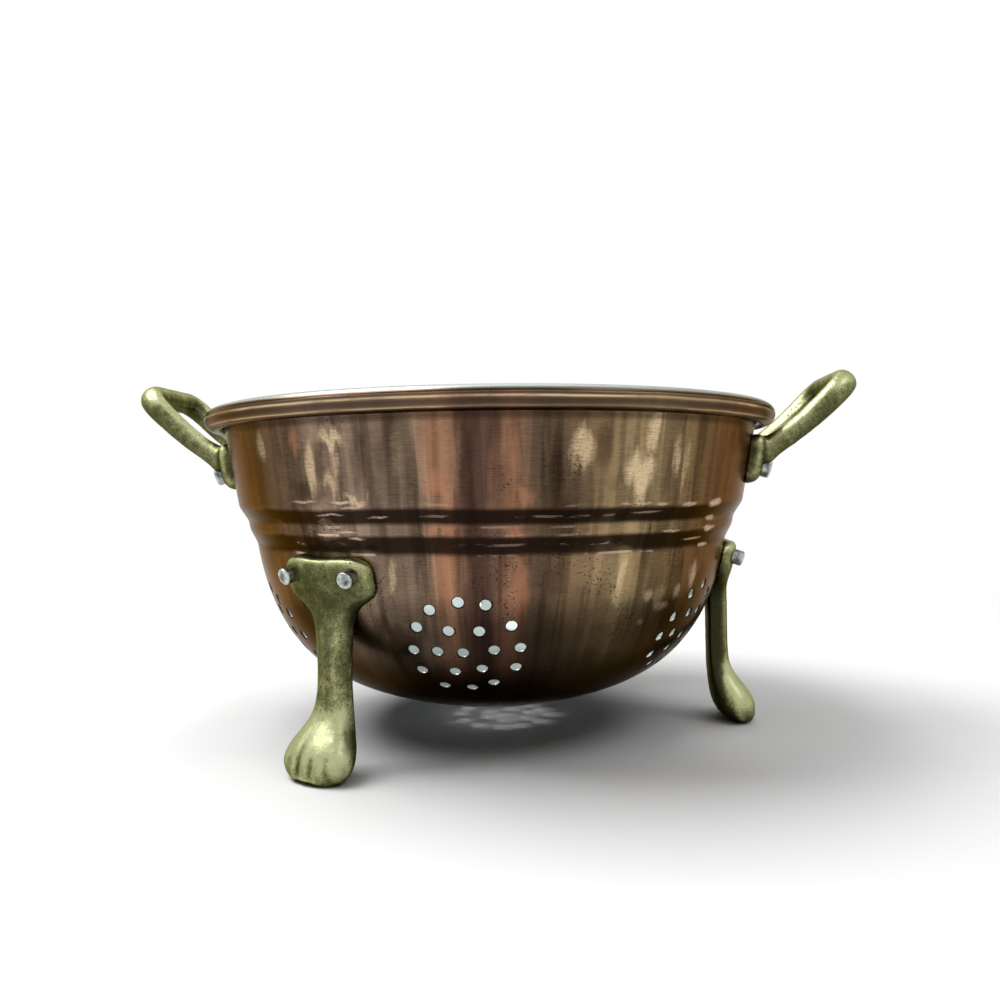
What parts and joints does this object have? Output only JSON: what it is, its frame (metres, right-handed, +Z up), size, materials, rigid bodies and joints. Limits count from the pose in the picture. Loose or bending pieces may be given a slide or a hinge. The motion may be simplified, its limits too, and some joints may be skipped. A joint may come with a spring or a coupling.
{
  "type": "footed colander",
  "caption": "Small footed colander: spun copper bowl with rolled rim and drain-hole clusters, riveted cast brass paw legs and loop handles.",
  "frame": {"origin": "on the floor, under the middle of the bowl", "axes": "+X through the two handles, with one leg under the +X handle; +Z up, along the bowl's axis"},
  "size_m": [0.2522, 0.2, 0.1225],
  "materials": {
    "copper": "polished copper, tarnished and lightly scratched outside, bright tin inside",
    "cast_brass": "aged cast brass, satin with a fine grain",
    "rivet_metal": "dull hammered aluminium"
  },
  "bodies": {
    "root": {"bowl": "copper", "leg_right": "cast_brass", "leg_right_rivet_a": "rivet_metal", "leg_right_rivet_b": "rivet_metal", "leg_back_left": "cast_brass", "leg_back_left_rivet_a": "rivet_metal", "leg_back_left_rivet_b": "rivet_metal", "leg_front_left": "cast_brass", "leg_front_left_rivet_a": "rivet_metal", "leg_front_left_rivet_b": "rivet_metal", "handle_right": "cast_brass", "handle_right_rivet_a": "rivet_metal", "handle_right_rivet_b": "rivet_metal", "handle_left": "cast_brass", "handle_left_rivet_a": "rivet_metal", "handle_left_rivet_b": "rivet_metal"}
  },
  "joints": []
}
